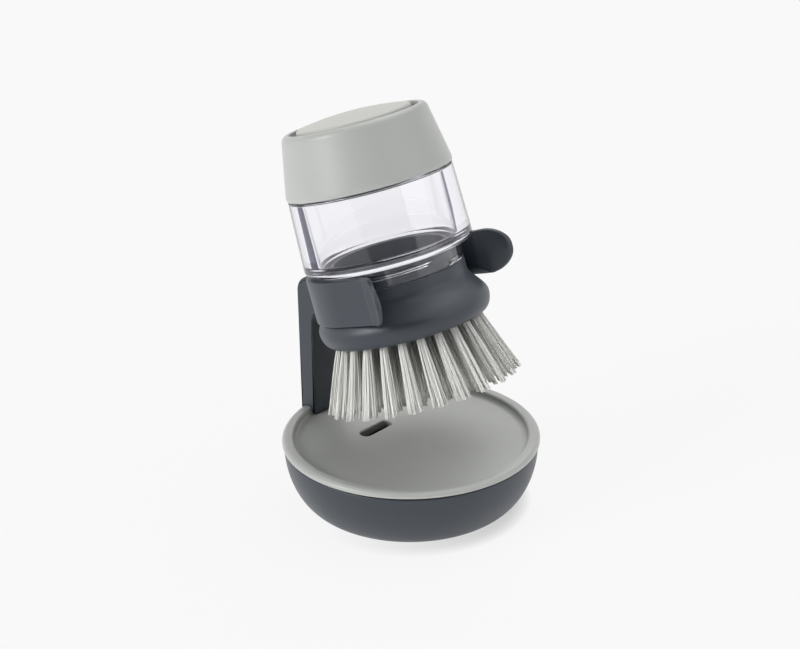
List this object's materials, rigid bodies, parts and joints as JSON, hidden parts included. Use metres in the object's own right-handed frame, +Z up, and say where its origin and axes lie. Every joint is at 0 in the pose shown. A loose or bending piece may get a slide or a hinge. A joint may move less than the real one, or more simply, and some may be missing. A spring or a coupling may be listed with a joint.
{
  "type": "soap-dispensing palm brush and stand",
  "caption": "Palm-held dish brush with a press-button soap reservoir, resting tilted in an open clip on a round drip tray over a water-catching bowl.",
  "frame": {"origin": "centre of the non-slip pad's underside, on the surface that the stand rests on", "axes": "+Z up; the post is toward -X and the clip opens toward +X; Y runs across the clip"},
  "size_m": [0.1075, 0.105, 0.1664],
  "materials": {
    "dark_plastic": "fine satin moulding",
    "light_plastic": "fine matte moulding",
    "button_plastic": "fine matte moulding",
    "clear_plastic": "polished, clear",
    "bristle_nylon": "drawn filament, slightly translucent",
    "soft_rubber": "matte",
    "silicone": "matte, slightly translucent",
    "steel": "plain"
  },
  "bodies": {
    "base": {"bowl": "dark_plastic", "non_slip_pad": "soft_rubber"},
    "holder": {"tray": "light_plastic", "post_with_clip": "dark_plastic", "post_screw_near": "steel", "post_screw_far": "steel"},
    "head": {"brush_head": "dark_plastic", "outer_bristles": "bristle_nylon", "middle_bristles": "bristle_nylon", "inner_bristles": "bristle_nylon", "soap_valve": "silicone", "valve_retainer": "dark_plastic"},
    "seal": {"neck_seal": "soft_rubber"},
    "bottle": {"reservoir": "clear_plastic"},
    "gasket": {"cap_gasket": "soft_rubber"},
    "cap": {"cap_shell": "light_plastic", "cap_liner": "light_plastic", "button_spring": "steel", "pump_bellows": "silicone", "air_valve": "silicone"},
    "press": {"button": "button_plastic"}
  },
  "joints": [
    {"name": "tray_lift", "type": "slide", "parent": "base", "child": "holder", "axis": [0, 0, 1], "range_m": [0, 0.06]},
    {"name": "brush_pull", "type": "slide", "parent": "holder", "child": "head", "axis": [0.9489, 0, 0.3156], "range_m": [0, 0.12]},
    {"name": "reservoir_rise", "type": "slide", "parent": "head", "child": "seal", "axis": [-0.3156, 0, 0.9489], "range_m": [0, 0.006]},
    {"name": "reservoir_twist", "type": "hinge", "parent": "seal", "child": "bottle", "pos_m": [-0.01957, 0, 0.1335], "axis": [-0.3156, 0, 0.9489], "range_deg": [0, 720]},
    {"name": "cap_rise", "type": "slide", "parent": "bottle", "child": "gasket", "axis": [-0.3156, 0, 0.9489], "range_m": [0, 0.006]},
    {"name": "cap_twist", "type": "hinge", "parent": "gasket", "child": "cap", "pos_m": [-0.01957, 0, 0.1335], "axis": [-0.3156, 0, 0.9489], "range_deg": [0, 720]},
    {"name": "button_press", "type": "slide", "parent": "cap", "child": "press", "axis": [0.3156, 0, -0.9489], "range_m": [0, 0.0045], "stiffness_N_per_m": 800, "springref_m": -0.003, "deforming": ["button_spring", "pump_bellows"]}
  ],
  "couplings": [
    {"joint": "reservoir_twist", "follows": "reservoir_rise", "rad_per_m": 2094.4},
    {"joint": "cap_twist", "follows": "cap_rise", "rad_per_m": 2094.4}
  ]
}
